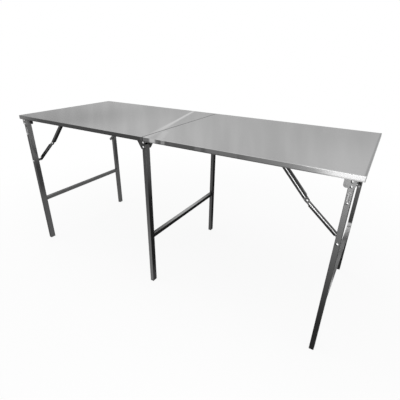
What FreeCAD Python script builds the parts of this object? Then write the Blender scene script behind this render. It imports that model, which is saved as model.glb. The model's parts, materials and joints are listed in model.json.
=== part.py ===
import FreeCAD, Part
import Sketcher
import math
import os
import re

# Folding work table: two sheet-metal top panels hinged at a cross seam, two end frames that fold
# inwards on over-centre braces, and a centre frame that folds up under the right panel.
# X runs along the table, -Y is the near side, Z is up, and the origin is on the floor at the middle.

# Driving dimensions in millimetres.
SIZES = {
    "length": 1800,
    "depth": 700,
    "height": 800,
    # Top panels
    "sheet": 1.2,
    "apron": 20,
    "hem": 8,
    "bend_radius": 2,
    "seam_gap": 1,
    # Stiffening ribs under each panel
    "rib_count": 3,
    "rib_crown": 30,
    "rib_flange": 12,
    "rib_depth": 9,
    "rib_end_gap": 10,
    # Legs and crossbars
    "leg_width": 20,
    "leg_depth": 30,
    "leg_wall": 1.5,
    "leg_corner": 2,
    "leg_end_inset": 26,
    "leg_head": 12,
    "bar_size": 20,
    "bar_height": 280,
    "foot_height": 4,
    "foot_plug": 16,
    # Pressed oblong on each end leg
    "press_drop": 65,
    "press_length": 42,
    "press_width": 9,
    "press_depth": 0.7,
    # End-leg brackets
    "plate": 2,
    "pivot_drop": 26,
    "stop_drop": 18,
    "notch_turn": 60,
    "bracket_inward": 16,
    "bracket_outward": 3,
    "bracket_drop": 50,
    "bracket_corner": 10,
    # Seam hinge
    "hinge_drop": 47,
    "stud_drop": 27,
    "stud_margin": 5,
    "gusset_reach": 44,
    "gusset_eye": 10,
    "gusset_corner": 7,
    "gusset_flange": 20,
    "washer": 2,
    "washer_radius": 9,
    # Rivets and pins
    "pin_radius": 4,
    "stop_radius": 3.5,
    "head_overhang": 1.6,
    "head_height": 2.4,
    "head_taper": 1.5,
    # Folding braces
    "brace_reach": 251,
    "brace_rise": 5,
    "brace_drop": 240,
    "brace_slack": 0.8,
    "brace_inset": 58,
    "knee_gap": 0.4,
    "upper_half": 10,
    "lower_half": 8,
    "link_sheet": 2,
    "link_flange": 7,
    "link_flat_end": 18,
    "groove_half": 4,
    "groove_depth": 0.9,
    "anchor_half": 9,
    "anchor_corner": 8,
    "anchor_flange": 20,
    "bush_radius": 7,
    # Clearances
    "pin_fit": 0.05,
    "side_clear": 0.3,
    "apron_clear": 0.3,
    "stop_clear": 0.3,
    "plug_clear": 0.1,
    "lip_clear": 2,
}

# Sizes and places worked out from the driving dimensions.
DERIVED = {
    "panel_start": "seam_gap / 2",
    "ceiling": "height - sheet",
    "apron_bottom": "height - apron",
    "side": "depth / 2",
    # Insets are measured inwards from the near edge of the top.
    "ear_inset": "2 * sheet + apron_clear",
    "leg_inset": "ear_inset + plate + side_clear",
    "leg_inner": "leg_inset + leg_depth",
    "inner_ear_inset": "leg_inner + side_clear",
    "leg_x": "length / 2 - leg_end_inset - leg_width / 2",
    "pivot_z": "height - pivot_drop",
    "stop_z": "pivot_z - stop_drop",
    "hinge_z": "height - hinge_drop",
    "stud_z": "height - stud_drop",
    "centre_inset": "ear_inset + plate + side_clear + washer",
    "centre_inner": "centre_inset + leg_depth",
    "centre_ear_inset": "centre_inner + washer + side_clear",
    "gusset_inset": "centre_ear_inset + plate + side_clear",
    "gusset_step": "panel_start + lip_clear",
    # Brace geometry: the links lie just over-centre at rest. Folded, they lie flat side by side with
    # the knee towards the seam, because the lower link is longer by as much as reach exceeds drop.
    "brace_span": "sqrt(brace_reach^2 + (brace_drop + brace_rise)^2)",
    "upper_length": "(brace_span + brace_slack - brace_reach + brace_drop) / 2",
    "lower_length": "(brace_span + brace_slack + brace_reach - brace_drop) / 2",
    "brace_slope": "atan((brace_drop + brace_rise) / brace_reach)",
    "upper_kink": "acos((upper_length^2 + brace_span^2 - lower_length^2) / (2 * upper_length * brace_span))",
    "lower_kink": "acos((lower_length^2 + brace_span^2 - upper_length^2) / (2 * lower_length * brace_span))",
    "anchor_x": "leg_x - brace_reach",
    "anchor_z": "pivot_z + brace_rise",
    "brace_pin_z": "pivot_z - brace_drop",
    "upper_web": "brace_inset + knee_gap / 2",
    "lower_web": "brace_inset - knee_gap / 2 - link_sheet",
    "anchor_inset": "upper_web + link_sheet + side_clear",
    # The ribs share the clear stretch between the seam hinge and the brace anchors.
    "rib_zone": "anchor_x - anchor_half - gusset_reach",
}

# Tolerances in millimetres for a point on an axis and for an edge that passes through a spot.
ON_AXIS = 1e-9
AT_SPOT = 1e-4

doc = FreeCAD.newDocument("folding_work_table")
dims = doc.addObject("Spreadsheet::Sheet", "dims")
for row, (alias, size) in enumerate(SIZES.items(), start=1):
    dims.set("A%d" % row, alias)
    dims.set("B%d" % row, str(size))
    dims.setAlias("B%d" % row, alias)
doc.recompute()


def formula(text):
    """Turns a size written with plain names into an expression on the sheet's cells."""

    def expand(match):
        word = match.group(0)
        if word in SIZES:
            return "dims." + word
        if word in DERIVED:
            return "(" + formula(DERIVED[word]) + ")"
        return word

    return re.sub(r"[a-z][a-z_0-9]*", expand, text)


def number(text):
    """The present value of a formula."""
    result = dims.evalExpression(formula(text))
    return float(getattr(result, "Value", result))


def bind(item, **sizes):
    """Ties properties of an object to formulas."""
    for name, text in sizes.items():
        item.setExpression(name, formula(text))


def place(item, x, y, z):
    """Ties the position of an object to formulas."""
    for axis, text in zip("xyz", (x, y, z)):
        item.setExpression("Placement.Base." + axis, formula(text))


def near(inset):
    """The Y of a plane that lies the given inset behind the near edge."""
    return "-side + " + inset


# Sketch helpers

def add_body(label):
    return doc.addObject("PartDesign::Body", label)


def add_sketch(body, role, offset):
    """A sketch on one of the body's own origin planes, moved along the plane's normal."""
    plane = next(item for item in body.Origin.OriginFeatures if item.Role == role)
    sketch = body.newObject("Sketcher::SketchObject", body.Name + "_sketch")
    sketch.AttachmentSupport = [(plane, "")]
    sketch.MapMode = "FlatFace"
    sketch.setExpression("AttachmentOffset.Base.z", formula(offset))
    return sketch


def side_sketch(body, inset):
    """A sketch in a plane parallel to XZ at the given inset from the near edge."""
    return add_sketch(body, "XZ_Plane", "side - (" + inset + ")")


def fix_point(sketch, geometry, end, x, y):
    """Holds a point of the sketch at the place that two formulas give."""
    for kind, axis, text in (("DistanceX", -2, x), ("DistanceY", -1, y)):
        value = number(text)
        if abs(value) < ON_AXIS:
            sketch.addConstraint(Sketcher.Constraint("PointOnObject", geometry, end, axis))
        elif value > 0:
            index = sketch.addConstraint(Sketcher.Constraint(kind, -1, 1, geometry, end, value))
            sketch.setExpression("Constraints[%d]" % index, formula(text))
        else:
            index = sketch.addConstraint(Sketcher.Constraint(kind, geometry, end, -1, 1, -value))
            sketch.setExpression("Constraints[%d]" % index, "-(" + formula(text) + ")")


def add_polygon(sketch, corners):
    """A closed outline with a corner at each pair of formulas."""
    spots = [FreeCAD.Vector(number(x), number(y), 0) for x, y in corners]
    lines = [Part.LineSegment(a, b) for a, b in zip(spots, spots[1:] + spots[:1])]
    ids = list(sketch.addGeometry(lines, False))
    for this, following in zip(ids, ids[1:] + ids[:1]):
        sketch.addConstraint(Sketcher.Constraint("Coincident", this, 2, following, 1))
    for line, (x, y) in zip(ids, corners):
        fix_point(sketch, line, 1, x, y)


def add_rectangle(sketch, x0, x1, y0, y1):
    add_polygon(sketch, [(x0, y0), (x1, y0), (x1, y1), (x0, y1)])


def add_circle(sketch, x, y, radius):
    centre = FreeCAD.Vector(number(x), number(y), 0)
    circle = sketch.addGeometry(Part.Circle(centre, FreeCAD.Vector(0, 0, 1), number(radius)), False)
    index = sketch.addConstraint(Sketcher.Constraint("Radius", circle, number(radius)))
    sketch.setExpression("Constraints[%d]" % index, formula(radius))
    fix_point(sketch, circle, 3, x, y)


def add_oblong(sketch, start, end, level, half, upright=False):
    """A round-ended slot between two points on a line along the sketch's X, or its Y if upright."""
    turn = math.pi / 2 if upright else 0.0
    ends = [(level, start), (level, end)] if upright else [(start, level), (end, level)]
    first, last = (FreeCAD.Vector(number(x), number(y), 0) for x, y in ends)
    radius = number(half)
    across = FreeCAD.Vector(-math.sin(turn), math.cos(turn), 0) * radius
    flat = FreeCAD.Vector(0, 0, 1)
    near_arc, far_arc, low, high = sketch.addGeometry([
        Part.ArcOfCircle(Part.Circle(first, flat, radius), turn + math.pi / 2, turn + 3 * math.pi / 2),
        Part.ArcOfCircle(Part.Circle(last, flat, radius), turn - math.pi / 2, turn + math.pi / 2),
        Part.LineSegment(first - across, last - across),
        Part.LineSegment(last + across, first + across),
    ], False)
    for one, one_end, other, other_end in ((near_arc, 2, low, 1), (low, 2, far_arc, 1),
                                           (far_arc, 2, high, 1), (high, 2, near_arc, 1)):
        sketch.addConstraint(Sketcher.Constraint("Tangent", one, one_end, other, other_end))
    index = sketch.addConstraint(Sketcher.Constraint("Radius", near_arc, radius))
    sketch.setExpression("Constraints[%d]" % index, formula(half))
    fix_point(sketch, near_arc, 3, *ends[0])
    fix_point(sketch, far_arc, 3, *ends[1])


# Feature helpers

def pad(body, sketch, length, inwards=False):
    """Pads a sketch along its plane's normal, or against it where inwards is set."""
    before = 0 if body.Shape.isNull() else body.Shape.Volume
    feature = body.newObject("PartDesign::Pad", body.Name + "_pad")
    feature.Profile = sketch
    feature.Reversed = inwards
    bind(feature, Length=length)
    doc.recompute()
    if body.Shape.Volume <= before:
        raise RuntimeError(body.Name + " pad adds nothing")
    return feature


def pocket(body, sketch, length):
    """Cuts against the normal of the sketch's plane, and makes sure that something was cut."""
    before = body.Shape.Volume
    feature = body.newObject("PartDesign::Pocket", body.Name + "_pocket")
    feature.Profile = sketch
    bind(feature, Length=length)
    doc.recompute()
    if body.Shape.Volume >= before:
        raise RuntimeError(body.Name + " pocket cuts nothing")
    return feature


def round_edges(body, axis, spots, radius):
    """Rounds the straight edges along one axis that pass through the given spots in the other two."""
    others = [i for i in range(3) if i != axis]
    wanted = [[number(text) for text in spot] for spot in spots]
    names = []
    for index, edge in enumerate(body.Shape.Edges, start=1):
        start, end = edge.Vertexes[0].Point, edge.Vertexes[-1].Point
        for spot in wanted:
            if all(abs(p[i] - value) < AT_SPOT for p in (start, end) for i, value in zip(others, spot)):
                names.append("Edge%d" % index)
    if len(names) < len(spots):
        raise RuntimeError(body.Name + " has too few edges to round")
    base = body.Tip
    feature = body.newObject("PartDesign::Fillet", body.Name + "_rounding")
    feature.Base = (base, names)
    bind(feature, Radius=radius)
    doc.recompute()
    return feature


def mirror(source, label, axis):
    """The same piece on the other side of the table's middle plane across one axis."""
    item = doc.addObject("Part::Mirroring", label)
    item.Source = source
    item.Normal = FreeCAD.Vector(*(1.0 if i == axis else 0.0 for i in range(3)))
    return item


def group(label, items):
    item = doc.addObject("Part::Compound", label)
    item.Links = items
    return item


def across(source, label):
    """The piece for the far side."""
    return mirror(source, label, 1)


def along(source, label):
    """The piece for the left end."""
    return mirror(source, label, 0)


def cylinder(label, radius, length, x, inset, z):
    """A cylinder along Y that starts at an inset from the near edge."""
    item = doc.addObject("Part::Cylinder", label)
    bind(item, Radius=radius, Height=length)
    item.Placement.Rotation = FreeCAD.Rotation(FreeCAD.Vector(1, 0, 0), -90)
    place(item, x, near(inset), z)
    return item


def cut(label, base, tool):
    item = doc.addObject("Part::Cut", label)
    item.Base = base
    item.Tool = tool
    return item


def ring(label, outer, bore, length, x, inset, z):
    """A washer or bush along Y."""
    body = cylinder(label + "_body", outer, length, x, inset, z)
    hole = cylinder(label + "_bore", bore, length, x, inset, z)
    return cut(label, body, hole)


def rivet(label, radius, grip, x, inset, z, outer_head=True, inner_head=True):
    """A turned pin along Y with a tapered head on one or both ends of its grip."""
    body = add_body(label)
    sketch = add_sketch(body, "XZ_Plane", "0")
    rim = radius + " + head_overhang"
    crown = rim + " - head_taper"
    top = "(" + grip + ") + head_height"
    profile = [("0", "0"), (radius, "0")]
    if outer_head:
        profile = [("0", "-head_height"), (crown, "-head_height"), (rim, "0"), (radius, "0")]
    if inner_head:
        profile += [(radius, grip), (rim, grip), (crown, top), ("0", top)]
    else:
        profile += [(radius, grip), ("0", grip)]
    add_polygon(sketch, profile)
    turned = body.newObject("PartDesign::Revolution", label + "_turned")
    turned.Profile = sketch
    turned.ReferenceAxis = (sketch, ["V_Axis"])
    turned.Angle = 360
    body.Placement.Rotation = FreeCAD.Rotation(FreeCAD.Vector(1, 0, 0), -90)
    place(body, x, near(inset), z)
    return body


# Top panels

def make_tray():
    """A folded sheet with a downturned apron, hemmed on its three outer sides."""
    body = add_body("right_tray")
    start, end, half = "panel_start", "length / 2", "side"
    sketch = add_sketch(body, "XY_Plane", "apron_bottom")
    add_rectangle(sketch, start, end, "-" + half, half)
    pad(body, sketch, "apron")
    hollow = add_sketch(body, "XY_Plane", "ceiling")
    add_rectangle(hollow, start + " + sheet", end + " - sheet", "-side + sheet", "side - sheet")
    pocket(body, hollow, "apron - sheet")
    hem = add_sketch(body, "XY_Plane", "apron_bottom")
    add_polygon(hem, [
        (start + " + sheet", "-side + sheet"), (end + " - sheet", "-side + sheet"),
        (end + " - sheet", "side - sheet"), (start + " + sheet", "side - sheet"),
        (start + " + sheet", "side - 2 * sheet"), (end + " - 2 * sheet", "side - 2 * sheet"),
        (end + " - 2 * sheet", "-side + 2 * sheet"), (start + " + sheet", "-side + 2 * sheet"),
    ])
    pad(body, hem, "hem")
    corners = [(end, "-side"), (end, "side")]
    round_edges(body, 2, corners, "bend_radius")
    round_edges(body, 1, [(end, "height"), (start, "height")], "bend_radius")
    return body


def make_ribs():
    """Hat-section ribs across the underside of a panel."""
    ribs = []
    for index in range(int(number("rib_count"))):
        body = add_body("rib_%d" % (index + 1))
        middle = "gusset_reach + rib_zone * (2 * %d + 1) / (2 * rib_count)" % index
        low = "ceiling - rib_depth"
        crown, flange = "rib_crown / 2", "rib_crown / 2 + rib_flange"
        outer = [(flange, "ceiling"), (flange, "ceiling - sheet"), (crown, "ceiling - sheet"), (crown, low)]
        inner = [(crown + " - sheet", low + " + sheet"), (crown + " - sheet", "ceiling")]
        outline = [("%s + (%s)" % (middle, x), z) for x, z in outer]
        outline += [("%s - (%s)" % (middle, x), z) for x, z in reversed(outer)]
        outline += [("%s - (%s)" % (middle, x), z) for x, z in reversed(inner)]
        outline += [("%s + (%s)" % (middle, x), z) for x, z in inner]
        sketch = side_sketch(body, "2 * sheet + rib_end_gap")
        add_polygon(sketch, outline)
        pad(body, sketch, "depth - 4 * sheet - 2 * rib_end_gap", inwards=True)
        ribs.append(body)
    return group("right_ribs", ribs)


# End-leg brackets

def make_bracket():
    """A U-bracket whose ears hold the leg's pivot rivet and its stop rivet."""
    body = add_body("right_bracket_near")
    inner = "leg_x - leg_width / 2 - bracket_inward"
    outer = "leg_x + leg_width / 2 + bracket_outward"
    low = "height - bracket_drop"
    base = add_sketch(body, "XY_Plane", "ceiling - plate")
    add_rectangle(base, inner, outer, near("ear_inset"), near("inner_ear_inset + plate"))
    pad(body, base, "plate")
    for inset in ("ear_inset", "inner_ear_inset"):
        ear = side_sketch(body, inset)
        add_rectangle(ear, inner, outer, low, "ceiling")
        add_circle(ear, "leg_x", "pivot_z", "pin_radius + pin_fit")
        add_circle(ear, "leg_x", "stop_z", "stop_radius + pin_fit")
        pad(body, ear, "plate", inwards=True)
    round_edges(body, 1, [(inner, low), (outer, low)], "bracket_corner")
    return body


# Legs, feet and crossbars

def make_tube(label, x, inset, top):
    """An upright rectangular tube that stands on its foot."""
    body = add_body(label)
    left, right = x + " - leg_width / 2", x + " + leg_width / 2"
    front, back = near(inset), near(inset + " + leg_depth")
    sketch = add_sketch(body, "XY_Plane", "foot_height")
    add_rectangle(sketch, left, right, front, back)
    pad(body, sketch, top + " - foot_height")
    round_edges(body, 2, [(left, front), (right, front), (left, back), (right, back)], "leg_corner")
    bore = add_sketch(body, "XY_Plane", top)
    add_rectangle(bore, left + " + leg_wall", right + " - leg_wall",
                  front + " + leg_wall", back + " - leg_wall")
    pocket(body, bore, top + " - foot_height")
    return body


def bore_leg(body, inset, x, z):
    """A hole through a leg for a pin along Y."""
    sketch = side_sketch(body, inset)
    add_circle(sketch, x, z, "pin_radius + pin_fit")
    pocket(body, sketch, "leg_depth")


def make_end_leg():
    """An end leg with its pivot hole, brace hole, pressed oblong and the notch for the stop rivet."""
    tube = make_tube("end_leg_tube", "leg_x", "leg_inset", "pivot_z + leg_head")
    bore_leg(tube, "leg_inset", "leg_x", "pivot_z")
    bore_leg(tube, "leg_inset", "leg_x", "brace_pin_z")
    press = side_sketch(tube, "leg_inset")
    top, half = "height - press_drop", "press_width / 2"
    add_oblong(press, top + " - press_length + " + half, top + " - " + half, "leg_x", half, upright=True)
    pocket(tube, press, "press_depth")
    reach = "(stop_radius + stop_clear)"
    sweep = cylinder("notch_sweep", "stop_drop + " + reach, "leg_depth", "leg_x", "leg_inset", "pivot_z")
    bind(sweep, Angle="notch_turn")
    start = FreeCAD.Rotation(FreeCAD.Vector(0, 0, 1), 90 - number("notch_turn"))
    sweep.Placement.Rotation = FreeCAD.Rotation(FreeCAD.Vector(1, 0, 0), -90).multiply(start)
    core = cylinder("notch_core", "stop_drop - " + reach, "leg_depth", "leg_x", "leg_inset", "pivot_z")
    seat = cylinder("notch_seat", reach, "leg_depth", "leg_x", "leg_inset", "stop_z")
    band = cut("notch_band", sweep, core)
    notched = cut("notched_leg", tube, band)
    return cut("right_leg_near", notched, seat)


def make_centre_leg():
    leg = make_tube("centre_leg_near", "0", "centre_inset", "hinge_z + leg_head")
    bore_leg(leg, "centre_inset", "0", "hinge_z")
    return leg


def make_foot(label, x, inset):
    """A plastic foot: a pad as wide as the leg and a plug that fits inside it."""
    body = add_body(label)
    sketch = add_sketch(body, "XY_Plane", "0")
    left, right = x + " - leg_width / 2", x + " + leg_width / 2"
    front, back = near(inset), near(inset + " + leg_depth")
    add_rectangle(sketch, left, right, front, back)
    pad(body, sketch, "foot_height")
    round_edges(body, 2, [(left, front), (right, front), (left, back), (right, back)], "leg_corner")
    plug = add_sketch(body, "XY_Plane", "foot_height")
    step = "(leg_wall + plug_clear)"
    add_rectangle(plug, left + " + " + step, right + " - " + step, front + " + " + step, back + " - " + step)
    pad(body, plug, "foot_plug")
    return body


def make_crossbar(label, x, inner):
    """A square tube between the inner faces of two legs."""
    body = add_body(label)
    sketch = side_sketch(body, inner)
    for wall in ("0", "leg_wall"):
        half = "(bar_size / 2 - %s)" % wall
        add_rectangle(sketch, "%s - %s" % (x, half), "%s + %s" % (x, half),
                      "bar_height - " + half, "bar_height + " + half)
    pad(body, sketch, "depth - 2 * (" + inner + ")", inwards=True)
    return body


# Seam hinge

def make_left_gusset():
    """The left panel's hinge bracket, with an eye plate on each side of the centre leg."""
    body = add_body("left_gusset_near")
    low, step = "hinge_z - gusset_eye", "stud_z + stud_margin"
    base = add_sketch(body, "XY_Plane", "ceiling - plate")
    add_rectangle(base, "-gusset_reach", "-gusset_step", near("ear_inset"), near("centre_ear_inset + plate"))
    pad(body, base, "plate")
    for inset in ("ear_inset", "centre_ear_inset"):
        ear = side_sketch(body, inset)
        add_polygon(ear, [("-gusset_reach", "ceiling"), ("-gusset_eye", low), ("gusset_eye", low),
                          ("gusset_eye", step), ("-gusset_step", step), ("-gusset_step", "ceiling")])
        add_circle(ear, "0", "hinge_z", "pin_radius + pin_fit")
        add_circle(ear, "0", "stud_z", "stop_radius + pin_fit")
        pad(body, ear, "plate", inwards=True)
    round_edges(body, 1, [("-gusset_eye", low), ("gusset_eye", low), ("gusset_eye", step)], "gusset_corner")
    return body


def make_right_gusset():
    """The right panel's hinge plate, on the inner side of the left panel's bracket."""
    body = add_body("right_gusset_near")
    low, high = "hinge_z - gusset_eye", "hinge_z + gusset_eye"
    base = add_sketch(body, "XY_Plane", "ceiling - plate")
    add_rectangle(base, "gusset_step", "gusset_reach",
                  near("gusset_inset"), near("gusset_inset + gusset_flange"))
    pad(body, base, "plate")
    eye = side_sketch(body, "gusset_inset")
    add_polygon(eye, [("gusset_reach", "ceiling"), ("gusset_step", "ceiling"),
                      ("gusset_step", "apron_bottom"), ("-gusset_eye", high),
                      ("-gusset_eye", low), ("gusset_eye", low)])
    add_circle(eye, "0", "hinge_z", "pin_radius + pin_fit")
    pad(body, eye, "plate", inwards=True)
    round_edges(body, 1, [("-gusset_eye", low), ("gusset_eye", low), ("-gusset_eye", high)], "gusset_corner")
    return body


# Folding braces

def make_link(label, length, half, flange_side):
    """A pressed channel with flat round ends and a V-groove down its web, made along its own X axis.

    The web lies on the link's XZ plane, and the flanges stand on its inner side (1) or outer side (-1).
    """
    body = add_body(label)
    web = add_sketch(body, "XZ_Plane", "0")
    add_oblong(web, "0", length, "0", half)
    add_circle(web, "0", "0", "pin_radius + pin_fit")
    add_circle(web, length, "0", "pin_radius + pin_fit")
    pad(body, web, "link_sheet", inwards=True)
    inwards = flange_side > 0
    for sign in ("", "-"):
        flange = add_sketch(body, "XZ_Plane", "0" if inwards else "-link_sheet")
        inner_edge, outer_edge = sign + "(%s - link_sheet)" % half, sign + "(%s)" % half
        add_rectangle(flange, "link_flat_end", "(%s) - link_flat_end" % length, inner_edge, outer_edge)
        pad(body, flange, "link_sheet + link_flange", inwards=inwards)
    groove = add_sketch(body, "YZ_Plane", "(%s) - link_flat_end" % length)
    add_polygon(groove, [("0", "-groove_half"), ("groove_depth", "0"), ("0", "groove_half")])
    pocket(body, groove, "(%s) - 2 * link_flat_end" % length)
    return body


def swing(body, angle):
    """Turns a link about its first pivot, from +X towards +Z."""
    body.Placement.Rotation = FreeCAD.Rotation(FreeCAD.Vector(0, -1, 0), number(angle))
    body.setExpression("Placement.Rotation.Angle", formula(angle))


def make_upper_link():
    link = make_link("right_upper_link_near", "upper_length", "upper_half", 1)
    swing(link, "360 deg - brace_slope - upper_kink")
    place(link, "anchor_x", near("upper_web"), "anchor_z")
    return link


def make_lower_link():
    link = make_link("right_lower_link_near", "lower_length", "lower_half", -1)
    swing(link, "180 deg - brace_slope + lower_kink")
    place(link, "leg_x", near("lower_web"), "brace_pin_z")
    return link


def make_anchor():
    """An angle bracket under the panel that carries a brace's upper pivot."""
    body = add_body("right_anchor_near")
    left, right = "anchor_x - anchor_half", "anchor_x + anchor_half"
    low = "anchor_z - anchor_half"
    base = add_sketch(body, "XY_Plane", "ceiling - plate")
    add_rectangle(base, left, right, near("anchor_inset"), near("anchor_inset + anchor_flange"))
    pad(body, base, "plate")
    ear = side_sketch(body, "anchor_inset")
    add_rectangle(ear, left, right, low, "ceiling")
    add_circle(ear, "anchor_x", "anchor_z", "pin_radius + pin_fit")
    pad(body, ear, "plate", inwards=True)
    round_edges(body, 1, [(left, low), (right, low)], "anchor_corner")
    return body


knee_x = "(anchor_x + upper_length * cos(brace_slope + upper_kink))"
knee_z = "(anchor_z - upper_length * sin(brace_slope + upper_kink))"

# Pieces of the near right-hand corner, which repeat on the far side and at the left end.
corner_pieces = {
    "bracket": make_bracket(),
    "leg": make_end_leg(),
    "foot": make_foot("right_foot_near", "leg_x", "leg_inset"),
    "upper_link": make_upper_link(),
    "lower_link": make_lower_link(),
    "anchor": make_anchor(),
}
bracket_grip = "inner_ear_inset + plate - ear_inset"
corner_fasteners = {
    "leg_pivots": rivet("leg_pivot", "pin_radius", bracket_grip, "leg_x", "ear_inset", "pivot_z"),
    "leg_stops": rivet("leg_stop", "stop_radius", bracket_grip, "leg_x", "ear_inset", "stop_z"),
    "anchor_pins": rivet("anchor_pin", "pin_radius", "anchor_inset + plate - upper_web",
                         "anchor_x", "upper_web", "anchor_z", outer_head=False),
    "brace_pins": rivet("brace_pin", "pin_radius", "lower_web + link_sheet - leg_inset",
                        "leg_x", "leg_inset", "brace_pin_z", inner_head=False),
    "brace_bushes": ring("brace_bush", "bush_radius", "pin_radius + pin_fit",
                         "lower_web - side_clear - leg_inner", "leg_x", "leg_inner", "brace_pin_z"),
    "upper_knee_rivets": rivet("upper_knee_rivet", "pin_radius", "link_sheet",
                               knee_x, "upper_web", knee_z, outer_head=False),
    "lower_knee_rivets": rivet("lower_knee_rivet", "pin_radius", "link_sheet",
                               knee_x, "lower_web", knee_z, inner_head=False),
}

nodes = []
for name, right_near in corner_pieces.items():
    right_far = across(right_near, "right_%s_far" % name)
    left_near = along(right_near, "left_%s_near" % name)
    left_far = across(left_near, "left_%s_far" % name)
    nodes += [right_near, right_far, left_near, left_far]
for name, right_near in corner_fasteners.items():
    right_far = across(right_near, name + "_far_one")
    right_pair = group("right_" + name, [right_near, right_far])
    nodes += [right_pair, along(right_pair, "left_" + name)]

# Pieces that repeat at the left end only.
for piece in (make_tray(), make_ribs(), make_crossbar("right_crossbar", "leg_x", "leg_inner")):
    nodes += [piece, along(piece, piece.Name.replace("right", "left"))]

# Pieces under the seam, which repeat on the far side.
for piece in (make_left_gusset(), make_right_gusset(), make_centre_leg(),
              make_foot("centre_foot_near", "0", "centre_inset")):
    nodes += [piece, across(piece, piece.Name.replace("near", "far"))]
nodes.append(make_crossbar("centre_crossbar", "0", "centre_inner"))

hinge_grip = "gusset_inset + plate - ear_inset"
stud_grip = "centre_ear_inset + plate - ear_inset"
seam_fasteners = {
    "seam_pins": [rivet("seam_pin", "pin_radius", hinge_grip, "0", "ear_inset", "hinge_z")],
    "gusset_studs": [rivet("gusset_stud", "stop_radius", stud_grip, "0", "ear_inset", "stud_z",
                           inner_head=False)],
    "seam_washers": [ring("seam_washer_%d" % index, "washer_radius", "pin_radius + pin_fit", "washer",
                          "0", inset, "hinge_z")
                     for index, inset in enumerate(("centre_inset - washer", "centre_inner"), start=1)],
}
for name, items in seam_fasteners.items():
    far_items = [across(item, item.Name + "_far_one") for item in items]
    nodes.append(group(name, items + far_items))

doc.recompute()
for item in doc.Objects:
    if "Invalid" in item.State or "Error" in item.State:
        raise RuntimeError(item.Name + " failed: " + ", ".join(item.State))
for node in nodes:
    if node.Shape.isNull() or not node.Shape.isValid():
        raise RuntimeError(node.Name + " has no valid shape")

os.makedirs("parts", exist_ok=True)
for node in nodes:
    node.Shape.exportStep("parts/%s.step" % node.Name)
print(len(nodes), "nodes written")
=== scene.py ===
# %% [markdown]
# # Dressing a folding work table
# The packed CAD model gives every piece of the table its true size and place. This lesson leaves
# that frame alone and gives it its looks. The panels get a satin sheet and the frames a dark tube.
# Small pieces are added to them: domed rivets, weld beads, the lips and buttons of the pressed
# oblongs, and spot welds under the panels. A small studio comes last.

# %% Load the frame
import json
import math

import bpy
from mathutils import Euler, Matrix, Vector


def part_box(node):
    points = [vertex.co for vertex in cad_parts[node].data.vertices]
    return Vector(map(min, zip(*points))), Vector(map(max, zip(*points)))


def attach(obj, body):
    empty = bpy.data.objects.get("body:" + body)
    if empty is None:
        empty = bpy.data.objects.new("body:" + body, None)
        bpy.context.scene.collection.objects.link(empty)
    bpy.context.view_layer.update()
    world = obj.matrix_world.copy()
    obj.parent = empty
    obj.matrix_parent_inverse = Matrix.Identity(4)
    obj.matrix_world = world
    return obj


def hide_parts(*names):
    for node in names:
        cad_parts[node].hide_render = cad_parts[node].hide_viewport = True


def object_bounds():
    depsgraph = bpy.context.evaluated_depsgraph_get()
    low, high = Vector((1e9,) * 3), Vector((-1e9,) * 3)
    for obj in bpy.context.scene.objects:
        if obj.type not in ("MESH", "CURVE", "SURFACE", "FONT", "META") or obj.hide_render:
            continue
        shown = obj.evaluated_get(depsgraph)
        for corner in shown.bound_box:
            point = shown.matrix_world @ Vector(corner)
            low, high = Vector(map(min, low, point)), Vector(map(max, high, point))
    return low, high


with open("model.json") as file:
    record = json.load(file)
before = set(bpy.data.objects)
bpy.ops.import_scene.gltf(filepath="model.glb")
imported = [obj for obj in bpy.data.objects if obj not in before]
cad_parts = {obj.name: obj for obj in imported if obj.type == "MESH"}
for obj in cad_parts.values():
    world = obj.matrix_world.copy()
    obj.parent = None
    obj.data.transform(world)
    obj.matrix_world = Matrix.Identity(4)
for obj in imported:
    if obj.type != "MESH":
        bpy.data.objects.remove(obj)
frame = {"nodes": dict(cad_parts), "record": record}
cad_low, cad_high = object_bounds()
nodes = frame["nodes"]
record = frame["record"]
bodies = record["behaviour"]["bodies"]
body_of = {node: body for body, members in bodies.items() for node in members}
slot_of = {part["node"]: part["material_slot"] for part in record["subparts"]}

# %% [markdown]
# ## Sums on sockets
# A finish is a formula: a grey that rises with height, plus a streak, times a mask. Wiring Math
# nodes by hand hides that formula, so one small class wraps a socket and lets Python's own
# operators add the nodes. Every other node comes from its `add` method, which sets the node up
# before it links it.

# %% A socket that takes part in sums
class Wire:
    """A socket of a node tree, or the bare tree while it has no socket yet."""

    def __init__(self, tree, socket=None):
        self.tree = tree
        self.socket = socket

    def add(self, kind, settings=None, sockets=None, output=0):
        """Adds a node: its settings first, then the values or links of its sockets."""
        node = self.tree.nodes.new(kind)
        for name, value in (settings or {}).items():
            setattr(node, name, value)
        for name, value in (sockets or {}).items():
            self.feed(node.inputs[name], value)
        return Wire(self.tree, node.outputs[output])

    def feed(self, socket, value):
        """Links a wire to a socket, or sets the socket's own value."""
        if isinstance(value, Wire):
            self.tree.links.new(value.socket, socket)
        else:
            socket.default_value = value

    def math(self, operation, *values):
        return self.add("ShaderNodeMath", {"operation": operation}, dict(enumerate(values)))

    def __add__(self, other):
        return self.math("ADD", self, other)

    def __sub__(self, other):
        return self.math("SUBTRACT", self, other)

    def __rsub__(self, other):
        return self.math("SUBTRACT", other, self)

    def __mul__(self, other):
        return self.math("MULTIPLY", self, other)

    def __truediv__(self, other):
        return self.math("DIVIDE", self, other)

    __radd__ = __add__
    __rmul__ = __mul__

    def ramp(self, low, high):
        """Rises smoothly from 0 at low to 1 at high."""
        sockets = {"Value": self, "From Min": low, "From Max": high}
        return self.add("ShaderNodeMapRange", {"interpolation_type": "SMOOTHSTEP"}, sockets)

    def fall(self, low, high):
        """Falls smoothly from 1 at low to 0 at high."""
        return 1 - self.ramp(low, high)


print("sums that the class knows:", ", ".join(name for name in vars(Wire) if name.startswith("__")))

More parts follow.
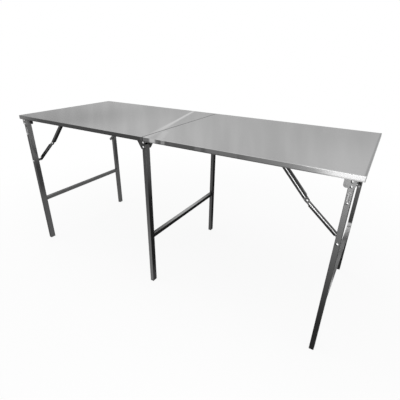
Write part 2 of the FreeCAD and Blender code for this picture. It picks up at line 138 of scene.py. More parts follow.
# %% [markdown]
# ## Shared steps of every finish
# All the finishes start the same way: a Principled shader, the object coordinates split into X, Y
# and Z, and stretched noise for grain. Unwrapping each piece would do too, but leaves seams in the
# grain. Every piece sits at the origin with its place in its mesh, so object coordinates are also
# the table's own, and a pattern rides along when a leg folds.

# %% Places and grain
def start_finish(name):
    """A new material with its tree, its shader and the object coordinates."""
    material = bpy.data.materials.new(name)
    material.use_nodes = True
    wire = Wire(material.node_tree)
    spot = wire.add("ShaderNodeTexCoord", output="Object")
    return material, wire, material.node_tree.nodes["Principled BSDF"], spot


def axes(spot):
    """The three coordinates of a place as wires."""
    split = spot.add("ShaderNodeSeparateXYZ", None, {"Vector": spot}).socket.node
    return [Wire(spot.tree, socket) for socket in split.outputs]


def facing(wire):
    """The direction that the surface faces, in the piece's own axes."""
    return axes(wire.add("ShaderNodeTexCoord", output="Normal"))


def vector(wire, x, y, z):
    """Three numbers as one vector."""
    return wire.add("ShaderNodeCombineXYZ", None, {"X": x, "Y": y, "Z": z})


def grain(spot, scale, detail=3.0):
    """Noise from 0 to 1, with its own number of cells per metre along each axis."""
    stretched = spot.add("ShaderNodeMapping", None, {"Vector": spot, "Scale": scale})
    sockets = {"Vector": stretched, "Scale": 1.0, "Detail": detail}
    return spot.add("ShaderNodeTexNoise", None, sockets)


place_helpers = (start_finish, axes, facing, vector, grain)
print("helpers for places:", *(helper.__name__ for helper in place_helpers))

# %% Colours and relief
def size_of(value):
    """A number without its sign."""
    return value.math("ABSOLUTE", value)


def between(factor, low, high):
    """A number between two numbers."""
    return low + (high - low) * factor


def grey(value, warmth=0.0):
    """An almost neutral linear colour."""
    return (value * (1 + warmth), value, value * (1 - warmth), 1.0)


def mix(factor, low, high):
    """A colour between two colours."""
    sockets = {0: factor, 6: low, 7: high}
    return factor.add("ShaderNodeMix", {"data_type": "RGBA"}, sockets, output=2)


def shade(factor, greys):
    """A grey between the two of a pair."""
    return mix(factor, *(grey(value) for value in greys))


def paint(colour, mask, value):
    """Covers a colour with a grey where a mask is 1."""
    return mix(mask, colour, grey(value))


def bump(height, distance):
    """Relief from a pattern, with its depth in metres."""
    sockets = {"Height": height, "Distance": distance, "Strength": 1.0}
    return height.add("ShaderNodeBump", None, sockets, output="Normal")


def set_finish(wire, shader, **sockets):
    """Feeds the shader's sockets, which are named with _ for a space."""
    for name, value in sockets.items():
        wire.feed(shader.inputs[name.replace("_", " ")], value)


colour_helpers = (size_of, between, grey, mix, shade, paint, bump, set_finish)
print("helpers for colours:", *(helper.__name__ for helper in colour_helpers))

# %% [markdown]
# ## Satin sheet
# The panels are satin steel. Their flat tops are grey with soft streaks that fan out from one point
# in front of the right end: painted reflection streaks, and the same noise varies the roughness.
# Straight noise would look like rolled sheet, so the noise runs on the angle round that point. Pale
# painted reflection bands cross the top beside the seam, and each is a straight line with soft
# sides.

# %% Strokes and rubs
fan_centre = (1.01, -1.57)
fan_cells = (16.0, 0.8)  # across the streaks and along them
# Painted reflection bands beside the seam.
sheen_bands = (  # near end, far end and share
    (((0.020, -0.34), (-0.158, 0.34)), 0.5),
    (((0.084, -0.334), (0.024, -0.205)), 0.4),
)
band_width = 0.019
band_core = 0.25
band_settles = 0.1
band_spread, band_strength = (1.4, 0.8), (0.35, 1.0)  # near and far
band_fade = 0.03


def fan_reflection_streaks(wire, x, y):
    """Noise from 0 to 1 in streaks that run straight away from one point, for painted reflection
    streaks.
    """
    angle = (x - fan_centre[0]) / (y - fan_centre[1])
    along = vector(wire, angle * fan_cells[0], y * fan_cells[1], 0.0)
    return wire.add("ShaderNodeTexNoise", None, {"Vector": along, "Scale": 1.0, "Detail": 2.0})


def sheen_band_mask(x, y, line):
    """A painted reflection band: 1 along a line over the top, fading at both sides and past its far
    end.
    """
    (x0, y0), (x1, y1) = line
    lean = (x1 - x0) / (y1 - y0)
    aside = size_of(x - x0 - lean * (y - y0))
    far = y.ramp(y0, band_settles)
    width = band_width * between(far, *band_spread)
    strength = between(far, *band_strength) * y.fall(y1 - band_fade, y1 + band_fade)
    return (aside / width).fall(band_core, 1.0) * strength


print(len(sheen_bands), "rubs cross the top")

# %% Colour of the flat top
# Painted reflection: the top's greys change between the panels and from the near to the far rim.
near_greys = (0.142, 0.296)  # left and right panel, at the near rim
far_greys = (0.216, 0.24)  # the same at the far rim
# Painted reflection: the streaks make the top paler by these gains.
streak_gains = (1.3, 1.2)
streak_span = (0.3, 0.7)
panel_change = (-0.6, -0.15)
# Painted highlight: the top is paler towards the near right corner.
corner_length, corner_depth = (0.55, 0.9), (-0.35, 0.25)
corner_share, corner_highlight_grey = 0.42, 0.5
# Painted shade: a dark line on the rounded edge at the right end.
end_roll = (0.890, 0.896)
roll_share, roll_shade_grey = 0.7, 0.15
# Painted reflection: the grey of the pale bands beside the seam.
sheen_band_grey = 0.7


def top_with_painted_streaks(right, streak, greys):
    """The greys of the left and the right panel, with painted reflection streaks paler along the
    noise.
    """
    bright_greys = [value * gain for value, gain in zip(greys, streak_gains)]
    return mix(streak, shade(right, greys), shade(right, bright_greys))


def top_colour(x, y, reflection_streaks):
    """The flat top: painted highlight near the right corner, painted shade on the end, reflection
    bands.
    """
    right, streak = x.ramp(*panel_change), reflection_streaks.ramp(*streak_span)
    near, far = (top_with_painted_streaks(right, streak, greys) for greys in (near_greys, far_greys))
    flat = mix(y.ramp(cad_low.y, cad_high.y), near, far)
    corner = x.ramp(*corner_length) * y.fall(*corner_depth)
    highlighted = paint(flat, corner_share * corner, corner_highlight_grey)
    end_shaded = paint(highlighted, roll_share * x.ramp(*end_roll), roll_shade_grey)
    bands = sum(share * sheen_band_mask(x, y, line) for line, share in sheen_bands)
    return paint(end_shaded, bands, sheen_band_grey)


print("greys of the top, left and right:", near_greys, "near,", far_greys, "far")

# %% [markdown]
# ## Folded rim
# The sheet is folded down at the rim. The rim is painted darker than the top, a painted shade of an
# upright face. It has paler patches beside the seam, and it is painted paler towards the left
# corner and most of all at the right end, a painted reflection. Its lower edge carries a thin
# painted shadow. One mask by depth below the top parts the rim from the flat sheet. A second
# material could do that, but would need the CAD mesh cut up.

# %% Colour of the rim
# Paler patches on the rim beside the seam.
pale_rim_patches = ((0.055, 0.022, 1.0), (0.111, 0.014, 0.5))  # middle, half length and strength
patch_core, pale_patch_span, pale_patch_grey = 0.4, (0.2, 0.6), 0.5
# Painted shade on the upright rim, paler towards the left corner as a painted reflection.
left_corner, left_rim_greys = (-0.9, -0.7), (0.17, 0.055)
right_patches, right_rim_greys = (0.45, 0.6), (0.09, 0.15)
seam_change = (-0.02, 0.01)
# Painted reflection: the rim is paler towards the right end, and palest near it.
sheen_span, sheen_grey = (0.44, 0.58), 0.17
glare_span, glare_grey = (0.73, 0.82), 0.29
# Painted shadow: a thin dark line along the rim's lower edge.
lower_edge, edge_share, hem_shadow_grey = (0.0145, 0.0175), 0.4, 0.02


def rim_colour(x, below, patches):
    """The rim from left to right in painted shade and painted reflection, and its lower edge."""
    left = shade(x.ramp(*left_corner), left_rim_greys)
    right = shade(patches.ramp(*right_patches), right_rim_greys)
    dull = mix(x.ramp(*seam_change), left, right)
    pale_patches = sum(strength * size_of(x - middle).fall(patch_core * half, half)
                 for middle, half, strength in pale_rim_patches)
    patched_rim = paint(dull, pale_patches * patches.ramp(*pale_patch_span), pale_patch_grey)
    highlighted = paint(patched_rim, x.ramp(*sheen_span), sheen_grey)
    glared = paint(highlighted, x.ramp(*glare_span), glare_grey)
    return paint(glared, edge_share * below.ramp(*lower_edge), hem_shadow_grey)


print(len(pale_rim_patches), "chafes on the rim beside the seam")

# %% Finish of the panels
top_height = cad_high.z
fold_start, fold_depth, fold_end = 0.0006, 0.0024, 0.003  # below the top
# Painted highlight: a glint along the rounded near edge, towards the right end.
near_fold, fold_shine, fold_glint_grey = (-0.3478, -0.3470), (0.67, 0.74), 0.45
# Painted shade: a narrow dark strip along the seam between the panels.
seam_shade_span, seam_shade_grey = (0.0012, 0.0040), 0.05


def make_sheet_finish():
    material, wire, shader, spot = start_finish("satin_sheet")
    x, y, z = axes(spot)
    below = top_height - z
    reflection_streaks = fan_reflection_streaks(wire, x, y)
    patches = grain(spot, (14.0, 30.0, 1.0))
    lines = grain(spot, (9.0, 900.0, 900.0))
    rim = below.ramp(fold_start, fold_depth)
    sheet = mix(rim, top_colour(x, y, reflection_streaks), rim_colour(x, below, patches))
    # Painted highlight on the near fold.
    fold = y.fall(*near_fold) * below.fall(fold_depth, fold_end)
    glinted = paint(sheet, fold * x.ramp(*fold_shine), fold_glint_grey)
    # The base colour carries the painted shade along the seam.
    set_finish(
        wire, shader,
        Base_Color=paint(glinted, size_of(x).fall(*seam_shade_span), seam_shade_grey),
        Metallic=1.0,
        Roughness=0.32 + 0.04 * reflection_streaks + 0.03 * lines,
        Normal=bump(lines, 0.00004),
    )
    return material


satin_sheet = make_sheet_finish()
print("finish:", satin_sheet.name, "with", len(satin_sheet.node_tree.nodes), "nodes")

# %% [markdown]
# ## Pressed oblongs
# An end leg has a pressed oblong on its outer face. Inside it the colour is painted lighter on the
# side towards the seam, a painted highlight. The dent itself is in the CAD mesh. Its colour needs a
# mask of the same shape, and the distance from a short upright line gives an oblong with round ends
# in one formula.

# %% Mask of the oblongs
press_drop = 0.065
press_length = 0.042
press_half = 0.0045
press_reach = press_length / 2 - press_half
press_middle = top_height - press_drop - press_length / 2
press_fade = 0.9
outer_step = 0.001
# Painted highlight inside the oblongs, lighter on the side towards the seam.
oblong_highlight_span, oblong_highlight_greys = (-0.003, 0.001), (0.21, 0.1)


def middle_of(node):
    """The middle of a node's box."""
    low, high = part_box(node)
    return (low + high) / 2


def oblong_mask(x, y, z):
    """Is 1 inside the pressed oblongs on the outer faces of the end legs."""
    leg = middle_of("right_leg_far")
    beside = size_of(x) - leg.x
    beyond = z.math("MAXIMUM", 0.0, size_of(z - press_middle) - press_reach)
    distance = z.math("SQRT", beside * beside + beyond * beyond)
    outer_half = size_of(y).ramp(leg.y, leg.y + outer_step)
    return distance.fall(press_fade * press_half, press_half) * outer_half


def oblong_highlight_colour(x):
    """The dent, painted lighter on the side towards the seam as a painted highlight."""
    beside = size_of(x) - middle_of("right_leg_far").x
    return shade(beside.ramp(*oblong_highlight_span), oblong_highlight_greys)


print("the oblongs' middle is", round(press_middle, 4), "m above the floor")

# %% [markdown]
# ## Dark tube
# The legs and crossbars are welded tube with a dark skin. Its greys are painted shade and painted
# reflection, which change on every face. One even black would hide that, and a material for each
# leg would be long, so one finish asks which way a face looks, how high it is and which frame it
# belongs to. Narrow faces of a leg look to the front and the back, and wide ones along the table.
# Low down, the wide faces are painted paler, except on the right frame.

# %% Colours of the legs
# Painted shade and reflection: the greys below change with the way a face looks, its height and its
# frame.
left_reach, right_reach = (-0.6, -0.3), (0.3, 0.6)  # where the end frames begin along X
near_to_far = (-0.1, 0.1)
centre_foot_greys, left_foot_grey, right_foot_grey = (0.17, 0.09), 0.105, 0.022
head_greys, foot_to_head = (0.07, 0.115), (0.1, 0.66)  # centre and ends, then heights
left_wide_greys, above_left_bar = (0.1, 0.044), (0.28, 0.4)
low_wide_greys = (0.016, 0.06)  # centre and right
high_wide_greys = (0.1, 0.18)  # all but the left, and the left
wide_rise, left_wide_rise = (0.46, 0.7), (0.49, 0.6)
stain_share = 0.1
# Paler low down on the wide faces, except on the right frame.
foot_band_greys, foot_band_height = (0.06, 0.105), (0.03, 0.13)


def narrow_colour(y, z, left_end, right_end):
    """The faces that look to the front and the back, from foot to head, in painted shade greys."""
    centre_foot = shade(y.ramp(*near_to_far), centre_foot_greys)
    foot = paint(paint(centre_foot, left_end, left_foot_grey), right_end, right_foot_grey)
    return mix(z.ramp(*foot_to_head), foot, shade(left_end + right_end, head_greys))


def wide_colour(z, stains, left_end, right_end):
    """The faces that look along the table: painted shade, lighter towards the head, paler at the
    foot.
    """
    left_low = shade(z.ramp(*above_left_bar), left_wide_greys)
    low = mix(left_end, shade(right_end, low_wide_greys), left_low)
    rise = z.ramp(*wide_rise) * (1 - left_end) + z.ramp(*left_wide_rise) * left_end
    stained_rise = rise * (1 - stain_share) + stains * stain_share
    wide = mix(stained_rise, low, shade(left_end, high_wide_greys))
    foot_band = z.fall(*foot_band_height) * (1 - right_end)
    return mix(foot_band, wide, shade(left_end, foot_band_greys))


print("greys of the feet:", left_foot_grey, "left,", centre_foot_greys, "centre,",
      right_foot_grey, "right")

# %% [markdown]
# ## Pale crossbar tops
# The top of a crossbar is painted palest, a painted highlight where it faces up, most of all in the
# middle of the centre one. At the right frame the ends of the bar and the legs just above it are
# painted pale. These places are masks too, so they stay put whatever the light does.

# %% Colours at the crossbars
# Painted highlight: the tops of the crossbars are palest, most of all in the middle of the centre
# one.
bar_patches, bar_greys = (0.3, 0.7), (0.15, 0.28)
bar_highlight_reach, bar_highlight_grey = (0.06, 0.3), 0.5
# Pale ends of the right crossbar, and pale bands on its legs just above it.
pale_bar_reach, pale_bar_end_grey = (0.16, 0.28), 0.85
inner_face, pale_leg_grey = (-0.25, -0.15), 0.6
pale_from, pale_to = (0.27, 0.28), (0.308, 0.318)


def pale_leg_band(aside, y, z):
    """Is 1 on a leg's inner face just above its crossbar."""
    inner = (aside * y).fall(*inner_face)
    return inner * z.ramp(*pale_from) * z.fall(*pale_to)


def bar_colour(y, stains, left_end, right_end):
    """The crossbar tops: a painted highlight, strongest at the centre frame, and pale ends at the
    right.
    """
    skin = shade(stains.ramp(*bar_patches), bar_greys)
    bar_highlight = size_of(y).fall(*bar_highlight_reach) * (1 - left_end) * (1 - right_end)
    highlighted_bar = paint(skin, bar_highlight, bar_highlight_grey)
    return paint(highlighted_bar, size_of(y).ramp(*pale_bar_reach) * right_end, pale_bar_end_grey)


print("legs are ground from", pale_from[0], "to", pale_to[1], "m above the floor")

# %% [markdown]
# ## The tube's shader
# Drawing the tube leaves faint lines along it, which are a bump. Seen at a flat angle, bare metal
# turns white, and a dark skin does not. So the tint of the edge reflection is set low, or the
# darkest faces would look grey.

# %% Finish of the frames
skin_edge = grey(0.25)
wide_face, upper_face = (0.35, 0.8), (0.5, 0.9)


def make_tube_finish():
    material, wire, shader, spot = start_finish("dark_tube")
    x, y, z = axes(spot)
    lean, aside, up = facing(wire)
    lines = grain(spot, (260.0, 260.0, 2.0))
    stains = grain(spot, (9.0, 9.0, 5.0))
    left_end, right_end = x.fall(*left_reach), x.ramp(*right_reach)
    narrow = narrow_colour(y, z, left_end, right_end)
    wide = wide_colour(z, stains, left_end, right_end)
    # Painted shade and reflection: the face's grey depends on which way it looks.
    leg = mix(size_of(lean).ramp(*wide_face), narrow, wide)
    paled = paint(leg, pale_leg_band(aside, y, z) * right_end, pale_leg_grey)
    shaded_tube = mix(up.ramp(*upper_face), paled, bar_colour(y, stains, left_end, right_end))
    set_finish(
        wire, shader,
        Base_Color=mix(oblong_mask(x, y, z), shaded_tube, oblong_highlight_colour(x)),
        Metallic=0.9,
        Specular_Tint=skin_edge,
        Roughness=0.26 + 0.16 * stains + 0.05 * lines,
        Normal=bump(lines, 0.00006),
    )
    return material


dark_tube = make_tube_finish()
print("finish:", dark_tube.name, "with", len(dark_tube.node_tree.nodes), "nodes")

# %% [markdown]
# ## Brace links
# A link is a pressed channel with a groove down its web. On the right braces a bright line is
# painted along the groove, a painted highlight, and the left ones stay dark there.
# Marks that run with a sloping link need its own two axes, along and across. Turning the object
# would do, but a finished piece stays unturned, so the axes are worked out from the pivots.

# %% Axes of the links
anchor, knee, brace_pin = (middle_of("right_" + pivot)
                           for pivot in ("anchor_pins", "lower_knee_rivets", "brace_pins"))
link_ends = {"upper": (anchor, knee), "lower": (knee, brace_pin)}


def along_and_across(spot, start, end):
    """The distances of a place along a link and across it, with + towards the link's upper edge."""
    x, _, z = axes(spot)
    run = (end - start).normalized()
    dx, dz = size_of(x) - start.x, z - start.z
    return dx * run.x + dz * run.z, dz * run.x - dx * run.z


for link, (start, end) in link_ends.items():
    print(link, "links are", round((end - start).length, 4), "m long between their pivots")

# %% Colours of the links
groove_width = 0.0015
flat_end, flat_fade = 0.011, 0.002
web_change, flange_change = (-0.001, 0.002), (-0.002, 0.002)  # across the middle of a link
upward, web_face, left_to_right = (0.0, 0.3), (0.2, 0.6), (-0.1, 0.1)
cloud_span, cloud_share, cloud_grey = (0.3, 0.7), 0.4, 0.02
plate_grey, left_line_grey, under_shade_grey = 0.1, 0.08, 0.012
# Painted shade and highlight: each face of a link gets its grey by which way it looks, darkest
# where it looks down, with a bright painted line in the groove.
link_greys = {
    "upper": {"low": 0.03, "left": 0.1, "right": 0.03, "line": 0.6, "flange": 0.35, "inside": 0.1},
    "lower": {"low": 0.1, "left": 0.17, "right": 0.1, "line": 0.95, "flange": 0.14, "inside": 0.5},
}


def web_colour(along, across, half, right, clouds, greys):
    """The web below and above the groove, its flat ends, and the painted highlight line in the
    groove.
    """
    plate = size_of(along - half).ramp(half - flat_end - flat_fade, half - flat_end)
    line = size_of(across).fall(0.5 * groove_width, groove_width) * (1 - plate)
    above = shade(right, (greys["left"], greys["right"]))
    web = mix(across.ramp(*web_change), grey(greys["low"]), above)
    clouded = paint(web, clouds.ramp(*cloud_span) * cloud_share, cloud_grey)
    line_colour = shade(right, (left_line_grey, greys["line"]))
    return mix(line, paint(clouded, plate, plate_grey), line_colour)


def flange_colour(across, up, greys):
    """The flanges, in painted shade where they look down, but not inside the upper one."""
    under = shade(across.ramp(*flange_change), (under_shade_grey, greys["inside"]))
    return mix(up.ramp(*upward), under, grey(greys["flange"]))


print("greys of the bright line:", *(greys["line"] for greys in link_greys.values()))

# %% Finishes of the links
def make_link_finish(link):
    """The finish of the upper or the lower links."""
    (start, end), greys = link_ends[link], link_greys[link]
    material, wire, shader, spot = start_finish(link + "_link_skin")
    _, aside, up = facing(wire)
    right = axes(spot)[0].ramp(*left_to_right)
    along, across = along_and_across(spot, start, end)
    clouds = grain(spot, (40.0, 40.0, 40.0))
    web = web_colour(along, across, (end - start).length / 2, right, clouds, greys)
    set_finish(
        wire, shader,
        Base_Color=mix(size_of(aside).ramp(*web_face), flange_colour(across, up, greys), web),
        Metallic=0.95,
        Specular_Tint=skin_edge,
        Roughness=0.24 + 0.16 * clouds,
        Normal=bump(clouds, 0.0001),
    )
    return material


link_finishes = {"_" + link + "_link_": make_link_finish(link) for link in link_ends}
print("finishes:", *(finish.name for finish in link_finishes.values()))

# %% [markdown]
# ## Pressed plate
# Brackets, hinge plates and ribs are cut from flat strip and pressed, so they keep the cloudy look
# of a rolled surface with a few rub marks. The outer hinge plates at the seam are painted darkest,
# a painted shade deep beside the seam. A mask round the seam pins darkens them, so that one finish
# is enough for all the plates.

# %% Finish of the pressed plates
# Painted shade: the outer hinge plates round the seam pins are darker.
hinge_shade_reach, hinge_plates = (0.05, 0.09), (0.318, 0.325)
rolled_clouds = (0.3, 0.75)
open_plate_greys, shaded_hinge_greys = (0.1, 0.18), (0.025, 0.06)


def make_plate_finish():
    material, wire, shader, spot = start_finish("pressed_plate")
    x, y, _ = axes(spot)
    clouds = grain(spot, (28.0, 28.0, 28.0))
    rub_marks = grain(spot, (160.0, 420.0, 160.0), detail=4.0)
    hinge_shade = size_of(x).fall(*hinge_shade_reach) * size_of(y).ramp(*hinge_plates)
    open_plate, shaded_hinge = (shade(clouds.ramp(*rolled_clouds), greys) for greys in (open_plate_greys, shaded_hinge_greys))
    set_finish(
        wire, shader,
        Base_Color=mix(hinge_shade, open_plate, shaded_hinge),
        Metallic=0.95,
        Roughness=0.3 + 0.15 * clouds + 0.06 * rub_marks,
        Normal=bump(rub_marks, 0.00005),
    )
    return material


pressed_plate = make_plate_finish()
print("finish:", pressed_plate.name)

# %% [markdown]
# ## Bright rivets
# The rivets are zinc-plated. Their colour is painted light and shade: pale on the crown and on the
# sides that face up, to the right and out, and a painted shade round the lower rim of each dome.
# The direction that a spot faces sets how light it is painted, so every dome gets its shade from
# one formula, with no mask to place by hand.

# %% Finish of the rivets
# Painted light and shade: a dome is pale where it faces up, to the right and out, dark below.
light_lean, light_aside, light_up = 0.6, 0.5, 0.6
painted_light_span, shade_to_light_greys = (0.3, 0.75), (0.03, 0.72)


def make_rivet_finish():
    material, wire, shader, spot = start_finish("bright_rivet")
    lean, aside, up = facing(wire)
    painted_light = light_up * up + light_lean * lean + light_aside * size_of(aside)
    specks = grain(spot, (420.0, 420.0, 420.0))
    set_finish(
        wire, shader,
        Base_Color=shade(painted_light.ramp(*painted_light_span), shade_to_light_greys),
        Metallic=1.0,
        Roughness=0.18 + 0.14 * specks,
        Normal=bump(specks, 0.00004),
    )
    return material


bright_rivet = make_rivet_finish()
print("finish:", bright_rivet.name)

# %% [markdown]
# ## Welds and feet
# A weld bead carries a thin scale, dark in some places and straw-coloured in others. The feet are
# moulded plastic with the fine pebble of the mould, scuffed by the floor. Both are small, so one
# noise for the colour and one for the relief are enough.

# %% Finishes of the welds and feet
scale_span, scale_grey, straw_colour = (0.35, 0.7), 0.06, grey(0.2, warmth=0.04)
scuff_span, plastic_greys = (0.45, 0.8), (0.012, 0.04)


def make_weld_finish():
    material, wire, shader, spot = start_finish("weld_bead")
    scale = grain(spot, (500.0, 500.0, 500.0))
    set_finish(
        wire, shader,
        Base_Color=mix(scale.ramp(*scale_span), grey(scale_grey), straw_colour),
        Metallic=0.9,
        Roughness=0.35 + 0.25 * scale,
        Normal=bump(scale, 0.00008),
    )
    return material


def make_foot_finish():
    material, wire, shader, spot = start_finish("pebbled_plastic")
    pebble = grain(spot, (900.0, 900.0, 900.0), detail=2.0)
    scuffs = grain(spot, (60.0, 60.0, 240.0))
    set_finish(
        wire, shader,
        Base_Color=shade(scuffs.ramp(*scuff_span), plastic_greys),
        Roughness=0.5 + 0.25 * scuffs,
        Normal=bump(pebble, 0.0001),
    )
    return material


weld_bead = make_weld_finish()
pebbled_plastic = make_foot_finish()
print("finishes:", weld_bead.name, pebbled_plastic.name)

# %% [markdown]
# ## Finishes onto the CAD nodes
# The record says which slot every node belongs to, so a small table from slot to finish dresses all
# the nodes in one loop. Only the links are picked by name. The meshes themselves are not touched.

# %% Dress the nodes
finish_of = {
    "top_steel": satin_sheet,
    "frame_steel": dark_tube,
    "plate_steel": pressed_plate,
    "rivet_steel": bright_rivet,
    "foot_plastic": pebbled_plastic,
}
for name, node in nodes.items():
    link_finish = next((finish for part, finish in link_finishes.items() if part in name), None)
    node.data.materials.clear()
    node.data.materials.append(link_finish or finish_of[slot_of[name]])
print("dressed", len(nodes), "nodes")

# %% [markdown]
# ## Trees that make geometry
# Rivets, weld ripples and spot welds repeat, so Geometry Nodes make them. A mesh of bare points,
# with a few numbers on every point, goes into a modifier, and the result is baked into a plain
# mesh. The tree's inputs are named, and they are set by their identifiers before the object is
# first evaluated.

# %% Start and end of a tree
def start_tree(name, inputs):
    """A geometry tree with a geometry input, the named inputs and a geometry output."""
    tree = bpy.data.node_groups.new(name, "GeometryNodeTree")
    tree.interface.new_socket("Geometry", in_out="INPUT", socket_type="NodeSocketGeometry")
    for label, kind in inputs.items():
        tree.interface.new_socket(label, in_out="INPUT", socket_type="NodeSocket" + kind)
    tree.interface.new_socket("Geometry", in_out="OUTPUT", socket_type="NodeSocketGeometry")
    entry = tree.nodes.new("NodeGroupInput")
    return Wire(tree), {socket.name: Wire(tree, socket) for socket in entry.outputs if socket.name}


def end_tree(wire, instances, finish):
    """Makes the instances real, gives them their finish and ends the tree."""
    real = wire.add("GeometryNodeRealizeInstances", None, {"Geometry": instances})
    dressed = wire.add("GeometryNodeSetMaterial", None, {"Geometry": real, "Material": finish})
    exit_node = wire.tree.nodes.new("NodeGroupOutput")
    wire.feed(exit_node.inputs[0], dressed)


def attribute(wire, name):
    """The number that every point carries under a name."""
    return wire.add("GeometryNodeInputNamedAttribute", {"data_type": "FLOAT"}, {"Name": name})


print("helpers for trees:", *(helper.__name__ for helper in (start_tree, end_tree, attribute)))

# %% From points to a piece
def point_mesh(name, points, edges=(), **numbers):
    """A mesh of bare points, with lists of numbers stored on them."""
    mesh = bpy.data.meshes.new(name)
    mesh.from_pydata(points, list(edges), [])
    for label, values in numbers.items():
        mesh.attributes.new(label, "FLOAT", "POINT").data.foreach_set("value", values)
    return mesh


def grow(name, mesh, tree, **values):
    """Runs a tree on a mesh of points and keeps the result as a plain mesh object."""
    piece = bpy.data.objects.new(name, mesh)
    bpy.context.scene.collection.objects.link(piece)
    modifier = piece.modifiers.new(tree.name, "NODES")
    modifier.node_group = tree
    identifiers = {item.name: item.identifier for item in tree.interface.items_tree
                   if item.in_out == "INPUT"}
    for label, value in values.items():
        modifier[identifiers[label.replace("_", " ")]] = value
    depsgraph = bpy.context.evaluated_depsgraph_get()
    grown = bpy.data.meshes.new_from_object(piece.evaluated_get(depsgraph))
    grown.name = name
    piece.modifiers.remove(modifier)
    piece.data = grown
    bpy.data.meshes.remove(mesh)
    return piece


print("helpers for pieces:", point_mesh.__name__, grow.__name__)

# %% [markdown]
# ## A dome by formula
# A rivet head is a round dome with a flat underside. Cutting a sphere would leave an open rim, so
# one grid makes it: the first coordinate becomes the angle, and the second walks from the middle of
# the underside out to the rim and over the dome to its top. Merging the doubles closes the seam and
# both poles.

# %% The shape of a dome
flat_share = 0.25
doubles_apart = 0.0001


def unit_dome(wire, segments, rings):
    """A dome of radius 1 and height 1 that stands on the XY plane."""
    sizes = {"Size X": 1.0, "Size Y": 1.0, "Vertices X": segments + 1, "Vertices Y": rings}
    grid = wire.add("GeometryNodeMeshGrid", None, sizes, output="Mesh")
    across, up, _ = axes(wire.add("GeometryNodeInputPosition"))
    turn = across * math.tau
    walk = up + 0.5
    climb = walk.math("MAXIMUM", 0.0, (walk - flat_share) / (1 - flat_share))
    rise = climb * (math.pi / 2)
    reach = walk.math("MINIMUM", 1.0, walk / flat_share) * rise.math("COSINE", rise)
    place = vector(wire, reach * turn.math("COSINE", turn), reach * turn.math("SINE", turn),
                   rise.math("SINE", rise))
    shaped = wire.add("GeometryNodeSetPosition", None, {"Geometry": grid, "Position": place})
    merge = {"Geometry": shaped, "Distance": doubles_apart}
    closed = wire.add("GeometryNodeMergeByDistance", None, merge)
    return wire.add("GeometryNodeSetShadeSmooth", {"domain": "FACE"}, {"Geometry": closed})


print(flat_share, "of a dome's rings are on its underside")

# %% The tree of a rivet
def make_rivet_tree():
    """Domed heads on the points, each with a round shank below it."""
    wire, given = start_tree("domed_rivets", {
        "Overhang": "Float", "Head height": "Float",
        "Segments": "Int", "Rings": "Int", "Finish": "Material",
    })
    shank, stem, outward = (attribute(wire, name) for name in ("shank", "stem", "facing"))
    turn = vector(wire, outward * (-math.pi / 2), 0.0, 0.0)
    rim = shank + given["Overhang"]
    head = wire.add("GeometryNodeInstanceOnPoints", None, {
        "Points": given["Geometry"],
        "Instance": unit_dome(wire, given["Segments"], given["Rings"]),
        "Rotation": turn,
        "Scale": vector(wire, rim, rim, given["Head height"]),
    })
    round_bar = wire.add("GeometryNodeMeshCylinder", None, {
        "Vertices": given["Segments"], "Radius": 1.0, "Depth": 1.0,
    }, output="Mesh")
    below = wire.add("GeometryNodeTransform", None, {
        "Geometry": round_bar, "Translation": (0.0, 0.0, -0.5),
    })
    bar = wire.add("GeometryNodeInstanceOnPoints", None, {
        "Points": given["Geometry"],
        "Instance": below,
        "Rotation": turn,
        "Scale": vector(wire, shank, shank, stem),
    })
    both = wire.add("GeometryNodeJoinGeometry", None, {"Geometry": head})
    wire.feed(both.socket.node.inputs["Geometry"], bar)
    end_tree(wire, both, given["Finish"])
    return wire.tree


rivet_tree = make_rivet_tree()
print("tree:", rivet_tree.name, "with", len(rivet_tree.nodes), "nodes")

# %% [markdown]
# ## Rivets on their bodies
# The CAD rivets are plain tapered pins, so domed ones take their place. Each end with a head
# becomes a point at the face of the plate, read from the CAD mesh itself. A pin with two heads has
# two points that share its length. All the rivets of a body are one mesh that rides on it.

# %% Where the heads are
head_overhang = 0.0016
head_height = 0.0024
heads_of = {
    "leg_pivots": ("outer", "inner"),
    "leg_stops": ("outer", "inner"),
    "brace_pins": ("outer",),
    "seam_pins": ("outer", "inner"),
    "gusset_studs": ("outer",),
    "lower_knee_rivets": ("outer",),
    "upper_knee_rivets": ("inner",),
    "anchor_pins": ("inner",),
}


def rivet_points(node, heads):
    """The head positions of the near and the far rivet of a node, with their numbers."""
    low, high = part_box(node)
    middle = (low + high) / 2
    shank = (high.z - low.z) / 2 - head_overhang
    reaches = [abs(vertex.co.y) for vertex in nodes[node].data.vertices]
    ends = {"outer": max(reaches), "inner": min(reaches)}
    ends["outer"] -= head_height if "outer" in heads else 0.0
    ends["inner"] += head_height if "inner" in heads else 0.0
    stem = (ends["outer"] - ends["inner"]) / len(heads)
    for side in (-1.0, 1.0):
        for head in heads:
            outward = side if head == "outer" else -side
            yield (middle.x, side * ends[head], middle.z), shank, stem, outward


print(len(heads_of), "kinds of rivets")

# %% Make the rivets
head_sides = 28
head_rings = 11
rivet_nodes = {}
for node in nodes:
    if slot_of[node] == "rivet_steel" and any(node.endswith(kind) for kind in heads_of):
        rivet_nodes.setdefault(body_of[node], []).append(node)
for body, members in rivet_nodes.items():
    rows = []
    for node in members:
        kind = next(kind for kind in heads_of if node.endswith(kind))
        rows += rivet_points(node, heads_of[kind])
    places, shanks, stems, outwards = zip(*rows)
    mesh = point_mesh(body + "_points", places, shank=shanks, stem=stems, facing=outwards)
    piece = grow(body + "_rivets", mesh, rivet_tree,
                 Overhang=head_overhang, Head_height=head_height,
                 Segments=head_sides, Rings=head_rings, Finish=bright_rivet)
    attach(piece, body)
    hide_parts(*members)
    print(piece.name, "has", len(rows), "heads and", len(piece.data.polygons), "faces")

